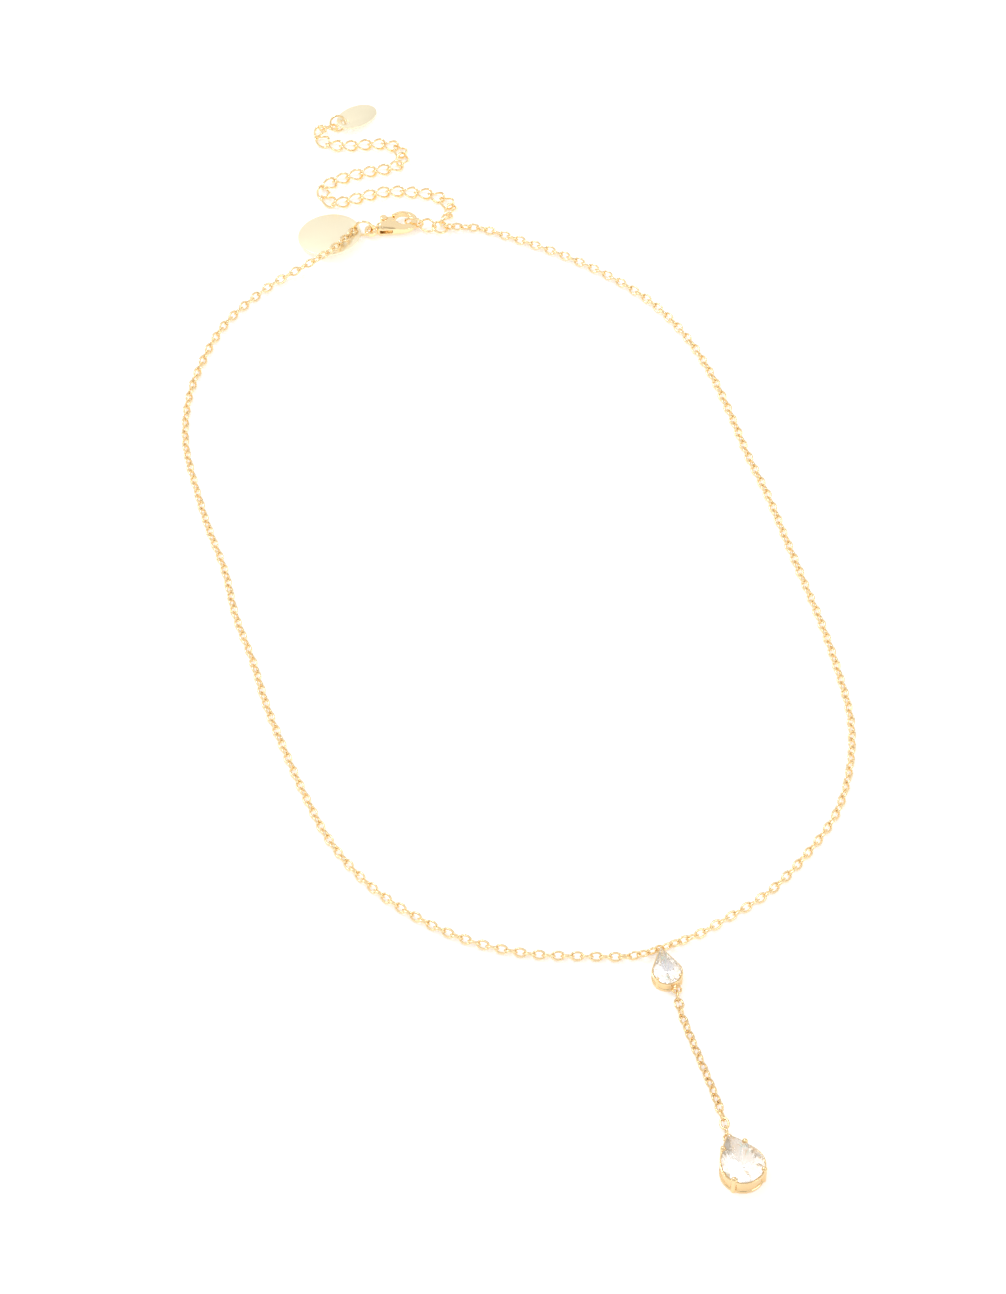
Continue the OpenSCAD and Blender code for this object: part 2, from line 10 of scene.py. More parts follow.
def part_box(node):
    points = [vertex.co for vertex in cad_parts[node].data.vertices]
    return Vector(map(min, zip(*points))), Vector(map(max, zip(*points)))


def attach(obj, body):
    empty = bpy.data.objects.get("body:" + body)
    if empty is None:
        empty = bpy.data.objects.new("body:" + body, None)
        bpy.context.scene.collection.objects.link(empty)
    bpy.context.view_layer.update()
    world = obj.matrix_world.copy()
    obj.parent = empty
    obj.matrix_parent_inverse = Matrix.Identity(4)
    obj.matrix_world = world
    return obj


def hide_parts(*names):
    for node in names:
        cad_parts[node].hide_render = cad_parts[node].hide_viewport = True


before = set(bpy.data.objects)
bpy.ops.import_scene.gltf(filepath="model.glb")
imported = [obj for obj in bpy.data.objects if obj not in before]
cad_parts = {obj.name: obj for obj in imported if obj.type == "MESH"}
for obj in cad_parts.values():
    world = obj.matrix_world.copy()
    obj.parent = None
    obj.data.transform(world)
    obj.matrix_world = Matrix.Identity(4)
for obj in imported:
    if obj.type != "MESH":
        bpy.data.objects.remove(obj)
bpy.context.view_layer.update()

bl_info = {
    "name": "Y Necklace",
    "version": (1, 0, 0),
    "blender": (4, 5, 0),
    "location": "View3D > Sidebar > Necklace",
    "description": "Dresses the y necklace: chains, stone settings, clasp and tags, lying on a pale floor",
    "category": "Object",
}

MM = 0.001
ROOT = "necklace"
LEVER = "lever"
# Points of a solid nearer than this are one, and faces turned less than this are one plane
SAME_POINT = 0.002 * MM
SAME_PLANE = math.radians(0.5)

# Routes of the two strands, in metres: x, y and the height of the strand's underside above the surface
LEFT_POINTS = (
    (0.0175, -0.0705, 0), (0.0115, -0.0705, 0), (0.0025, -0.07, 0), (-0.0065, -0.0675, 0),
    (-0.0145, -0.063, 0), (-0.0215, -0.057, 0), (-0.027, -0.0495, 0), (-0.031, -0.041, 0),
    (-0.0345, -0.032, 0), (-0.0375, -0.0235, 0), (-0.04, -0.0145, 0), (-0.043, -0.0055, 0),
    (-0.045, 0.0035, 0), (-0.048, 0.0125, 0), (-0.0505, 0.0215, 0), (-0.0525, 0.0305, 0),
    (-0.0525, 0.04, 0), (-0.0505, 0.049, 0), (-0.047, 0.0575, 0), (-0.041, 0.065, 0),
    (-0.0365, 0.0685, 0.0004), (-0.032, 0.071, 0.0015), (-0.029, 0.0735, 0.0019),
)
RIGHT_POINTS = (
    (0.028, -0.0665, 0), (0.031, -0.0645, 0), (0.0385, -0.059, 0), (0.0445, -0.052, 0),
    (0.0495, -0.044, 0), (0.052, -0.035, 0), (0.0525, -0.026, 0), (0.051, -0.0165, 0),
    (0.049, -0.0075, 0), (0.0465, 0.0015, 0), (0.044, 0.0105, 0), (0.0415, 0.0195, 0),
    (0.0385, 0.0285, 0), (0.036, 0.0375, 0), (0.033, 0.0465, 0), (0.029, 0.055, 0),
    (0.0235, 0.0625, 0), (0.0165, 0.0685, 0), (0.0085, 0.0735, 0), (0, 0.0775, 0),
    (-0.005, 0.0795, 0),
)
# Roll of each strand's even links: share of the way from the small drop, degrees. The odd ones turn 90 more
LEFT_ROLLS = ((0, -85), (0.03, -41), (0.5, -44), (0.9, -48), (0.95, -85), (1, -90))
RIGHT_ROLLS = ((0, 85), (0.03, 41), (0.5, 44), (0.93, 49), (1, 90))
# The extender's route in metres, counted from the middle of the ring that it hangs on
EXTENDER_POINTS = (
    (0.002, 0.004, 0.001), (0.0015, 0.006, 0.0008), (-0.001, 0.008, 0.0007), (-0.0035, 0.0085, 0.0007),
    (-0.0085, 0.009, 0.0007), (-0.0135, 0.0075, 0.0007), (-0.016, 0.0065, 0.0007), (-0.0185, 0.006, 0.0007),
    (-0.02, 0.0075, 0.0007), (-0.02, 0.01, 0.0007), (-0.018, 0.0115, 0.0007), (-0.013, 0.0135, 0.0007),
    (-0.0085, 0.0145, 0.0007), (-0.0065, 0.016, 0.0007), (-0.0065, 0.018, 0.0007), (-0.008, 0.02, 0.0007),
    (-0.0105, 0.0205, 0.0007), (-0.0155, 0.02, 0.0007), (-0.0185, 0.02, 0.0007), (-0.0205, 0.021, 0.0007),
    (-0.0215, 0.0225, 0.0008), (-0.0205, 0.0245, 0.0009), (-0.0185, 0.0245, 0.0008),
)
# The clasp: its tail hole, the way that it points, and the round shapes of its body seen from above
CLASP_AT = Vector((-0.0233, 0.0786, 0))
CLASP_TURN = math.radians(21)
CLASP_MIDDLE = 0.0011
HEEL_AT = Vector((0.00175, -0.00015, 0))
HEEL_R = 0.0009
ROUND_AT = Vector((0.00595, 0, 0))
ROUND_R = 0.0023
EYE_AT = Vector((0.0057, 0.0001, 0))
EYE_R = 0.00125
# Vertices this far outside the eye's wall still belong to it
EYE_MARGIN = 0.02 * MM
# Share of the way out, squared, at which doming leaves the clasp's thickness alone
DOME_EVEN = 0.35
# Where the two links on the clasp's hook meet, from the hook to the ring
HOOK_JOINTS = ((-0.01726, 0.08059, 0.00125), (-0.0149, 0.08017, 0.00125), (-0.01265, 0.07935, 0.00125))
HOOK_ROLLS = (math.radians(90), math.radians(45))
HOOK_TWISTS = (0, math.radians(45))
# The extender hangs inside its ring this way and this far from the middle
EXTENDER_WAY = math.radians(80)
EXTENDER_HANG = 1.02 * MM
# Degrees that its first and last links are rolled, and how much less each next one is
EXTENDER_END_ROLL = -40
EXTENDER_ROLL_STEP = 13
# The small drop's loop that both strands hang from: its middle, and how far out their first joints lie
TOP_LOOP_AT = (0.0221, -0.0692)
LOOP_HOLD = 0.43 * MM
# The left strand's last joint, counted from the middle of the clasp ring's -X side
LEFT_END = Vector((0.34 * MM, 0.17 * MM, -0.1 * MM))
# The right strand's last joint: its way from the end ring's middle, and how far in from the ring's side
RIGHT_END_WAY = math.radians(16)
RIGHT_END_IN = 0.68 * MM
# Where the fine chain between the drops starts, and its way by link: degrees from -Y towards +X
DROP_START = (0.02451, -0.07685)
DROP_TURNS = ((0, 4), (2, 12), (3, 17), (7, 18), (11, 18), (14, 15), (18, 8))
DROP_COUNT = 18
DROP_SLACK = 0.03 * MM
# Roll of its links: link, degrees
DROP_ROLLS = ((0, 90), (1, 86), (3, 64), (13, 60), (17, 0))
# A stone's upright girdle edges rise at least this much and drift sideways no more than this
GIRDLE_RISE = 0.05 * MM
GIRDLE_DRIFT = 0.02 * MM
# How far the middle of a split facet stands out
FACET_SWELL = 0.02 * MM
# Painted glints and painted reflections on the stones' facets, how often a facet has each painted colour:
# share, colour
FACET_PAINTED_GLINTS = (
    (72, (1.0, 1.0, 1.0)), (14, (0.93, 0.91, 0.88)), (14, (0.95, 0.84, 0.7)), (6, (0.7, 0.54, 0.38)),
    (3, (0.66, 0.72, 0.86)), (5, (0.62, 0.88, 1.0)), (3, (0.72, 1.0, 0.92)),
)


class FineChainSizes(bpy.types.PropertyGroup):
    """Sizes of the fine chain's links"""
    wire: FloatProperty(name="Wire", description="Diameter of a link's wire",
                        default=0.39 * MM, unit="LENGTH")
    pitch: FloatProperty(name="Pitch", description="Distance from link to link",
                         default=1.4 * MM, unit="LENGTH")
    width: FloatProperty(name="Width", description="Width of a link over its wire",
                         default=1.6 * MM, unit="LENGTH")
    length: FloatProperty(name="Length", description="Length of a link over its wire",
                          default=2.26 * MM, unit="LENGTH")
    steps: IntProperty(name="Steps", description="Sides of a link seen from above", default=12)
    wire_sides: IntProperty(name="Wire sides", description="Sides of a link's wire", default=5)
    jitter: FloatProperty(name="Jitter", description="How far a link's roll strays from the pattern",
                          default=math.radians(5), subtype="ANGLE")


class ExtenderSizes(bpy.types.PropertyGroup):
    """Sizes of the extender's links"""
    wire: FloatProperty(name="Wire", description="Diameter of a link's wire",
                        default=0.43 * MM, unit="LENGTH")
    pitch: FloatProperty(name="Pitch", description="Distance from link to link",
                         default=2.4 * MM, unit="LENGTH")
    width: FloatProperty(name="Width", description="Width of a link over its wire",
                         default=2.5 * MM, unit="LENGTH")
    length: FloatProperty(name="Length", description="Length of a link over its wire",
                          default=3.42 * MM, unit="LENGTH")
    twist: FloatProperty(name="Twist", description="How far each end of a link is turned from its middle",
                         default=math.radians(50), subtype="ANGLE")
    steps: IntProperty(name="Steps", description="Sides of a link seen from above", default=24)
    wire_sides: IntProperty(name="Wire sides", description="Sides of a link's wire", default=10)


class CastingSizes(bpy.types.PropertyGroup):
    """Mesh size and softness of the cast pieces"""
    setting_grain: FloatProperty(name="Setting grain", description="Size of the settings' mesh",
                                 default=0.06 * MM, unit="LENGTH")
    setting_softness: IntProperty(name="Setting softness", description="Rounds of smoothing on the settings",
                                  default=5)
    clasp_grain: FloatProperty(name="Clasp grain", description="Size of the clasp's mesh",
                               default=0.06 * MM, unit="LENGTH")
    clasp_softness: IntProperty(name="Clasp softness", description="Rounds of smoothing on the clasp",
                                default=14)
    eye_wider: FloatProperty(name="Eye wider", description="Growth of the clasp's eye towards the nose",
                             default=1.25)
    eye_higher: FloatProperty(name="Eye higher", description="Growth of the clasp's eye towards the hook",
                              default=1.34)
    dome: FloatProperty(name="Dome", description="How much thicker the clasp's middle is than its outline",
                        default=0.5)


class TagSizes(bpy.types.PropertyGroup):
    """How far the tags' edges are rounded"""
    rounding: FloatProperty(name="Rounding", description="Rounding of the tags' edges",
                            default=0.08 * MM, unit="LENGTH")
    sharp: FloatProperty(name="Sharp", description="Edges turning more than this are rounded",
                         default=math.radians(35), subtype="ANGLE")


class GemSizes(bpy.types.PropertyGroup):
    """How the stones sit over their rails"""
    overhang: FloatProperty(name="Overhang", description="How far the rim stands out over the rail",
                            default=0.14 * MM, unit="LENGTH")
    lift: FloatProperty(name="Lift", description="How far the rim stands above the rail",
                        default=0.2 * MM, unit="LENGTH")
    # The seed picks which painted glint or painted reflection colour each facet gets
    seed: IntProperty(name="Seed", description="Picks the facets' tints", default=11)


class StageSizes(bpy.types.PropertyGroup):
    """Camera and light"""
    eye_side: FloatProperty(name="Camera side", description="How far the camera stands to the right",
                            default=-0.001, unit="LENGTH")
    eye_back: FloatProperty(name="Camera back", description="How far the camera stands in front",
                            default=0.4297, unit="LENGTH")
    eye_up: FloatProperty(name="Camera up", description="Height of the camera over the surface",
                          default=0.5168, unit="LENGTH")
    eye_tilt: FloatProperty(name="Camera tilt", description="Angle of the camera away from straight down",
                            default=math.radians(39), subtype="ANGLE")
    lens: FloatProperty(name="Lens", description="Focal length on a 36 mm sensor", default=118.4)
    sky: FloatProperty(name="Sky", description="Strength of the white surroundings", default=0.94)


class Finishes(bpy.types.PropertyGroup):
    """Colours of the metal and the stones"""
    gold: FloatVectorProperty(name="Gold", description="Colour of the polished metal", size=3,
                              default=(1.0, 0.78, 0.46), subtype="COLOR", min=0, max=1)
    # Deep gold: the gold painted deeper for the settings and their chain, as painted shade over the front of
    # the necklace
    painted_shade_gold: FloatVectorProperty(name="Deep gold", description="Colour of the settings and their chain", size=3,
                              default=(0.9, 0.67, 0.37), subtype="COLOR", min=0, max=1)
    brushed: FloatVectorProperty(name="Brushed gold", description="Colour of the tags", size=3,
                                 default=(1.0, 0.91, 0.68), subtype="COLOR", min=0, max=1)
    stone: FloatVectorProperty(name="Stone", description="Tint of the clear stones", size=3,
                               default=(0.99, 0.99, 1.0), subtype="COLOR", min=0, max=1)


def new_mesh(name, bm, material, crease=180):
    """Turns a finished bmesh into an object of the necklace; edges over crease degrees stay sharp"""
    mesh = bpy.data.meshes.new(name)
    bm.to_mesh(mesh)
    bm.free()
    for face in mesh.polygons:
        face.use_smooth = True
    mesh.set_sharp_from_angle(angle=math.radians(crease))
    piece = bpy.data.objects.new(name, mesh)
    bpy.context.scene.collection.objects.link(piece)
    mesh.materials.append(material)
    return piece


def spline(a, b, c, d, t):
    """Point between b and c on the smooth curve through a, b, c and d"""
    return 0.5 * (2 * b + (c - a) * t + (2 * a - 5 * b + 4 * c - d) * t * t
                  + (3 * b - a - 3 * c + d) * t * t * t)


def smooth_route(points, steps=8):
    """Smooth route through chosen points"""
    last = len(points) - 1
    route = []
    for i in range(last):
        near = [points[max(0, min(last, i + k))] for k in (-1, 0, 1, 2)]
        route += [spline(*near, j / steps) for j in range(steps)]
    return route + [points[last]]


def spaced(route, pitch):
    """Points a whole number of equal steps apart along a route, the steps near pitch"""
    run = [0.0]
    for a, b in zip(route, route[1:]):
        run.append(run[-1] + (b - a).length)
    count = round(run[-1] / pitch)
    out = []
    k = 0
    for i in range(count + 1):
        s = run[-1] * i / count
        while k < len(run) - 2 and run[k + 1] < s:
            k += 1
        out.append(route[k].lerp(route[k + 1], (s - run[k]) / (run[k + 1] - run[k])))
    return out


def between(a, b, roll):
    """Place of a link between two joints: x runs from a to b, and roll turns it about x"""
    way = (b - a).normalized()
    side = Vector((-way.y, way.x, 0)).normalized()
    turn = Matrix((way, side, way.cross(side))).transposed()
    return Matrix.Translation((a + b) / 2) @ turn.to_4x4() @ Matrix.Rotation(roll, 4, "X")


def level(way):
    """Level unit step in a direction counted from +X"""
    return Vector((math.cos(way), math.sin(way), 0))


def table_value(table, share):
    """Value of a short table at a share of the way, straight between its rows"""
    for (a, low), (b, high) in zip(table, table[1:]):
        if share <= b:
            return low + (high - low) * (share - a) / (b - a)
    return table[-1][1]


def wire_torus(radius, wire, steps, wire_sides):
    """Bmesh of a round ring of wire about Z"""
    bm = bmesh.new()
    made = bmesh.ops.create_circle(bm, segments=wire_sides, radius=wire / 2)
    bmesh.ops.rotate(bm, verts=made["verts"], cent=(0, 0, 0), matrix=Matrix.Rotation(math.pi / 2, 3, "X"))
    bmesh.ops.translate(bm, verts=made["verts"], vec=(radius, 0, 0))
    bmesh.ops.rotate(bm, verts=bm.verts, cent=(0, 0, 0), matrix=Matrix.Rotation(math.pi / steps, 3, "Z"))
    bmesh.ops.spin(bm, geom=bm.verts[:] + bm.edges[:], cent=(0, 0, 0), axis=(0, 0, 1), angle=2 * math.pi,
                   steps=steps, use_merge=True)
    bmesh.ops.remove_doubles(bm, verts=bm.verts, dist=wire / 50)
    bmesh.ops.recalc_face_normals(bm, faces=bm.faces)
    return bm


def oval_link(length, width, wire, steps, wire_sides, twist=0):
    """Bmesh of a link: a ring drawn out to an oval, its two ends turned opposite ways by the twist"""
    half_width = (width - wire) / 2
    half_length = (length - wire) / 2
    bm = wire_torus(half_width, wire, steps, wire_sides)
    for vert in bm.verts:
        vert.co.x += (half_length - half_width) * vert.co.x / vert.co.xy.length
        vert.co.rotate(Matrix.Rotation(twist * vert.co.x / half_length, 3, "X"))
    return bm


def add_copy(bm, other):
    """Moves everything in a second bmesh into the first"""
    mesh = bpy.data.meshes.new("copy")
    other.to_mesh(mesh)
    other.free()
    bm.from_mesh(mesh)
    bpy.data.meshes.remove(mesh)


def linked(single, joints, roll_of):
    """Bmesh of a row of links, one from each joint to the next; roll_of gives each one's roll"""
    pattern = bpy.data.meshes.new("link")
    single.to_mesh(pattern)
    single.free()
    bm = bmesh.new()
    for i in range(len(joints) - 1):
        start = len(bm.verts)
        bm.from_mesh(pattern)
        bm.verts.ensure_lookup_table()
        bmesh.ops.transform(bm, matrix=between(joints[i], joints[i + 1], roll_of(i)), verts=bm.verts[start:])
    bpy.data.meshes.remove(pattern)
    return bm


def extender_link(sizes, twist):
    """Bmesh of one link of the extender"""
    return oval_link(sizes.length, sizes.width, sizes.wire, sizes.steps, sizes.wire_sides, twist)


def fine_link(sizes):
    """Bmesh of one link of the fine chain"""
    return oval_link(sizes.length, sizes.width, sizes.wire, sizes.steps, sizes.wire_sides)


def strand(points, rolls, sizes, seed):
    """One strand of the neck chain as a bmesh: links that pass through one another"""
    rng = random.Random(seed)
    joints = spaced(smooth_route(points), sizes.pitch)
    count = len(joints) - 1

    def roll_of(i):
        return (math.radians(table_value(rolls, i / count)) + math.pi / 2 * (i % 2)
                + rng.uniform(-1, 1) * sizes.jitter)

    return linked(fine_link(sizes), joints, roll_of)


def own_shape(node):
    """Bmesh of a solid's own shape, its flat faces whole again"""
    bm = bmesh.new()
    bm.from_mesh(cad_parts[node].data)
    bmesh.ops.remove_doubles(bm, verts=bm.verts, dist=SAME_POINT)
    bmesh.ops.dissolve_limit(bm, angle_limit=SAME_PLANE, verts=bm.verts, edges=bm.edges,
                             use_dissolve_boundaries=False, delimit=set())
    return bm


def softened(node, rounding, sharp, segments=3):
    """Bmesh of a solid's own shape with its sharp edges rounded"""
    bm = own_shape(node)
    edges = [e for e in bm.edges if len(e.link_faces) == 2 and e.calc_face_angle() > sharp]
    bmesh.ops.bevel(bm, geom=edges, offset=rounding, offset_type="OFFSET", segments=segments, profile=0.5,
                    affect="EDGES", clamp_overlap=True, material=-1)
    return bm


def remeshed(bm, grain):
    """Bmesh of the same shape in small even faces"""
    mesh = bpy.data.meshes.new("rough")
    bm.to_mesh(mesh)
    bm.free()
    block = bpy.data.objects.new("rough", mesh)
    bpy.context.scene.collection.objects.link(block)
    even = block.modifiers.new("even grain", "REMESH")
    even.mode = "VOXEL"
    even.voxel_size = grain
    fine = bmesh.new()
    fine.from_object(block, bpy.context.evaluated_depsgraph_get())
    bpy.data.objects.remove(block)
    bpy.data.meshes.remove(mesh)
    return fine


def cast(bm, grain, softness):
    """Bmesh of the same shape with the soft edges of a casting"""
    fine = remeshed(bm, grain)
    for _ in range(softness):
        bmesh.ops.smooth_vert(fine, verts=fine.verts, factor=0.5, use_axis_x=True, use_axis_y=True,
                              use_axis_z=True)
    return fine


def widen_eye(bm, sizes):
    """Opens the clasp's eye towards the hook, so that the hook is as thin as a wire"""
    into = Matrix.Rotation(-CLASP_TURN, 4, "Z") @ Matrix.Translation(-CLASP_AT)
    back = into.inverted()
    for vert in bm.verts:
        place = into @ vert.co
        off = place.xy - EYE_AT.xy
        if off.length < EYE_R + EYE_MARGIN:
            off.x *= sizes.eye_wider if off.x > 0 else 1
            off.y *= sizes.eye_higher if off.y > 0 else 1
            vert.co = back @ Vector((EYE_AT.x + off.x, EYE_AT.y + off.y, place.z))


def dome(bm, sizes):
    """Makes the clasp thicker along its middle and thinner towards its outline"""
    into = Matrix.Rotation(-CLASP_TURN, 4, "Z") @ Matrix.Translation(-CLASP_AT)
    back = into.inverted()
    for vert in bm.verts:
        place = into @ vert.co
        if place.x < HEEL_AT.x - HEEL_R:
            continue
        share = min(1, max(0, (place.x - HEEL_AT.x) / (ROUND_AT.x - HEEL_AT.x)))
        axis = HEEL_AT.lerp(ROUND_AT, share)
        reach = HEEL_R + (ROUND_R - HEEL_R) * share
        edge = min(1, (place.xy - axis.xy).length / reach)
        place.z = CLASP_MIDDLE + (place.z - CLASP_MIDDLE) * (1 + sizes.dome * (DOME_EVEN - edge * edge))
        vert.co = back @ place


# Materials: shared effects first
def soft_wear_group():
    """Fine unevenness of polished metal: a roughness that varies and a height for a bump"""
    if "Polish marks" in bpy.data.node_groups:
        return bpy.data.node_groups["Polish marks"]
    group = bpy.data.node_groups.new("Polish marks", "ShaderNodeTree")
    face = group.interface
    face.new_socket("Vector", in_out="INPUT", socket_type="NodeSocketVector")
    face.new_socket("Scale", in_out="INPUT", socket_type="NodeSocketFloat")
    face.new_socket("Smoothest", in_out="INPUT", socket_type="NodeSocketFloat")
    face.new_socket("Roughest", in_out="INPUT", socket_type="NodeSocketFloat")
    face.new_socket("Roughness", in_out="OUTPUT", socket_type="NodeSocketFloat")
    face.new_socket("Height", in_out="OUTPUT", socket_type="NodeSocketFloat")
    enter = group.nodes.new("NodeGroupInput")
    leave = group.nodes.new("NodeGroupOutput")
    marks = group.nodes.new("ShaderNodeTexNoise")
    marks.inputs["Detail"].default_value = 3
    spread = group.nodes.new("ShaderNodeMapRange")
    links = group.links
    links.new(enter.outputs["Vector"], marks.inputs["Vector"])
    links.new(enter.outputs["Scale"], marks.inputs["Scale"])
    links.new(marks.outputs["Fac"], spread.inputs["Value"])
    links.new(enter.outputs["Smoothest"], spread.inputs["To Min"])
    links.new(enter.outputs["Roughest"], spread.inputs["To Max"])
    links.new(spread.outputs["Result"], leave.inputs["Roughness"])
    links.new(marks.outputs["Fac"], leave.inputs["Height"])
    return group


def metal(name, colour, smoothest, roughest, scale, bump, stretch=(1, 1, 1)):
    """Metal with fine marks; stretch draws the marks out into brushing"""
    if name in bpy.data.materials:
        return bpy.data.materials[name]
    material = bpy.data.materials.new(name)
    material.use_nodes = True
    nodes = material.node_tree.nodes
    links = material.node_tree.links
    shader = nodes["Principled BSDF"]
    shader.inputs["Base Color"].default_value = (*colour, 1)
    shader.inputs["Metallic"].default_value = 1
    place = nodes.new("ShaderNodeTexCoord")
    mapping = nodes.new("ShaderNodeMapping")
    mapping.inputs["Scale"].default_value = stretch
    marks = nodes.new("ShaderNodeGroup")
    marks.node_tree = soft_wear_group()
    marks.inputs["Scale"].default_value = scale
    marks.inputs["Smoothest"].default_value = smoothest
    marks.inputs["Roughest"].default_value = roughest
    relief = nodes.new("ShaderNodeBump")
    relief.inputs["Strength"].default_value = 1
    relief.inputs["Distance"].default_value = bump
    links.new(place.outputs["Object"], mapping.inputs["Vector"])
    links.new(mapping.outputs["Vector"], marks.inputs["Vector"])
    links.new(marks.outputs["Roughness"], shader.inputs["Roughness"])
    links.new(marks.outputs["Height"], relief.inputs["Height"])
    links.new(relief.outputs["Normal"], shader.inputs["Normal"])
    return material


def polished_gold():
    """Metal of the settings, the clasp and the rings"""
    look = bpy.context.scene.necklace_finishes
    return metal("bright gold", look.gold, smoothest=0.08, roughest=0.16, scale=900, bump=0.01 * MM)


def chain_gold():
    """Metal of the chains"""
    look = bpy.context.scene.necklace_finishes
    return metal("link gold", look.gold, smoothest=0.14, roughest=0.24, scale=1200, bump=0.01 * MM)


def drop_gold_painted_shade():
    """The gold of the settings and of the chain between them, painted slightly deeper as painted shade over
    the front of the necklace
    """
    look = bpy.context.scene.necklace_finishes
    return metal("drop gold", look.painted_shade_gold, smoothest=0.1, roughest=0.2, scale=900, bump=0.01 * MM)


def satin_gold():
    """Brushed metal of the two tags"""
    look = bpy.context.scene.necklace_finishes
    return metal("brushed gold", look.brushed, smoothest=0.34, roughest=0.46, scale=2500, bump=0.004 * MM,
                 stretch=(1, 0.15, 1))


def clear_stone():
    """Cut clear stone with a faint painted warm glow and painted glint colours on its facets"""
    name = "cut stone"
    if name in bpy.data.materials:
        return bpy.data.materials[name]
    material = bpy.data.materials.new(name)
    material.use_nodes = True
    nodes = material.node_tree.nodes
    shader = nodes["Principled BSDF"]
    shader.inputs["IOR"].default_value = 1.6
    shader.inputs["Transmission Weight"].default_value = 1
    # Painted glow: a faint warm emission that lightens the stones where their light would run out inside
    # them
    shader.inputs["Emission Color"].default_value = (1, 0.88, 0.72, 1)
    shader.inputs["Emission Strength"].default_value = 0.08
    place = nodes.new("ShaderNodeTexCoord")
    haze = nodes.new("ShaderNodeTexNoise")
    haze.inputs["Scale"].default_value = 400
    spread = nodes.new("ShaderNodeMapRange")
    spread.inputs["To Min"].default_value = 0.0
    spread.inputs["To Max"].default_value = 0.02
    # Painted glints and painted reflections: each facet's painted colour times the stone's own tint makes
    # the base colour
    facet = nodes.new("ShaderNodeAttribute")
    facet.attribute_name = "facet"
    glint_colour = nodes.new("ShaderNodeMix")
    glint_colour.data_type = "RGBA"
    glint_colour.blend_type = "MULTIPLY"
    glint_colour.inputs["Factor"].default_value = 1
    glint_colour.inputs["B"].default_value = (*bpy.context.scene.necklace_finishes.stone, 1)
    links = material.node_tree.links
    links.new(facet.outputs["Color"], glint_colour.inputs["A"])
    links.new(glint_colour.outputs["Result"], shader.inputs["Base Color"])
    links.new(place.outputs["Object"], haze.inputs["Vector"])
    links.new(haze.outputs["Fac"], spread.inputs["Value"])
    links.new(spread.outputs["Result"], shader.inputs["Roughness"])
    return material


class NECKLACE_OT_strands(bpy.types.Operator):
    """Builds the two strands of the neck chain, link by link"""
    bl_idname = "necklace.strands"
    bl_label = "Neck chain"

    def execute(self, context):
        sizes = context.scene.necklace_fine_chain
        for name, points, rolls, seed in (("neck_chain_left", left_route(sizes), LEFT_ROLLS, 3),
                                          ("neck_chain_right", right_route(sizes), RIGHT_ROLLS, 5)):
            piece = new_mesh(name, strand(points, rolls, sizes, seed), chain_gold())
            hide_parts(name.replace("neck_chain", "chain"))
            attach(piece, ROOT)
        return {"FINISHED"}


def raised(points, sizes):
    """A strand's points lifted from its underside to its middle"""
    return [Vector(p) + Vector((0, 0, sizes.width / 2)) for p in points]


def top_loop(sizes):
    """Middle of the loop on the small drop that both strands hang from"""
    return Vector((*TOP_LOOP_AT, sizes.width / 2))


def from_loop(toward, sizes):
    """Where a strand's first link takes hold of the small drop's loop"""
    way = toward - top_loop(sizes)
    way.z = 0
    return top_loop(sizes) + way.normalized() * LOOP_HOLD


def left_route(sizes):
    """The left strand, from the small drop to the ring on the clasp's tail"""
    low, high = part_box("clasp_ring")
    end = Vector((low.x, (low.y + high.y) / 2, (low.z + high.z) / 2)) + LEFT_END
    points = raised(LEFT_POINTS, sizes)
    return [from_loop(points[0], sizes)] + points + [end]


def right_route(sizes):
    """The right strand, from the small drop to the ring that starts the extender"""
    low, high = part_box("end_ring")
    middle = (low + high) / 2
    reach = (high.x - low.x) / 2 - RIGHT_END_IN
    end = middle + level(RIGHT_END_WAY) * reach
    points = raised(RIGHT_POINTS, sizes)
    return [from_loop(points[0], sizes)] + points + [end]


class NECKLACE_OT_drop_links(bpy.types.Operator):
    """Builds the fine chain that hangs the large drop from the small one"""
    bl_idname = "necklace.drop_links"
    bl_label = "Chain between the drops"

    def execute(self, context):
        sizes = context.scene.necklace_fine_chain
        joint = Vector((*DROP_START, sizes.width / 2))
        joints = [joint]
        for i in range(DROP_COUNT):
            way = math.radians(table_value(DROP_TURNS, i))
            joint = joint + level(way - math.pi / 2) * (sizes.pitch + DROP_SLACK)
            joints.append(joint)
        bm = linked(fine_link(sizes), joints,
                    lambda i: math.radians(table_value(DROP_ROLLS, i)) - math.pi / 2 * (i % 2))
        piece = new_mesh("drop_links", bm, drop_gold_painted_shade())
        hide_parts("drop_chain")
        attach(piece, ROOT)
        return {"FINISHED"}


def hook_pair(sizes):
    """Bmesh of the two links between the clasp's hook and the end ring"""
    joints = [Vector(p) for p in HOOK_JOINTS]
    pair = bmesh.new()
    for k, (roll, twist) in enumerate(zip(HOOK_ROLLS, HOOK_TWISTS)):
        add_copy(pair, linked(extender_link(sizes, twist), joints[k:k + 2], lambda i: roll))
    return pair


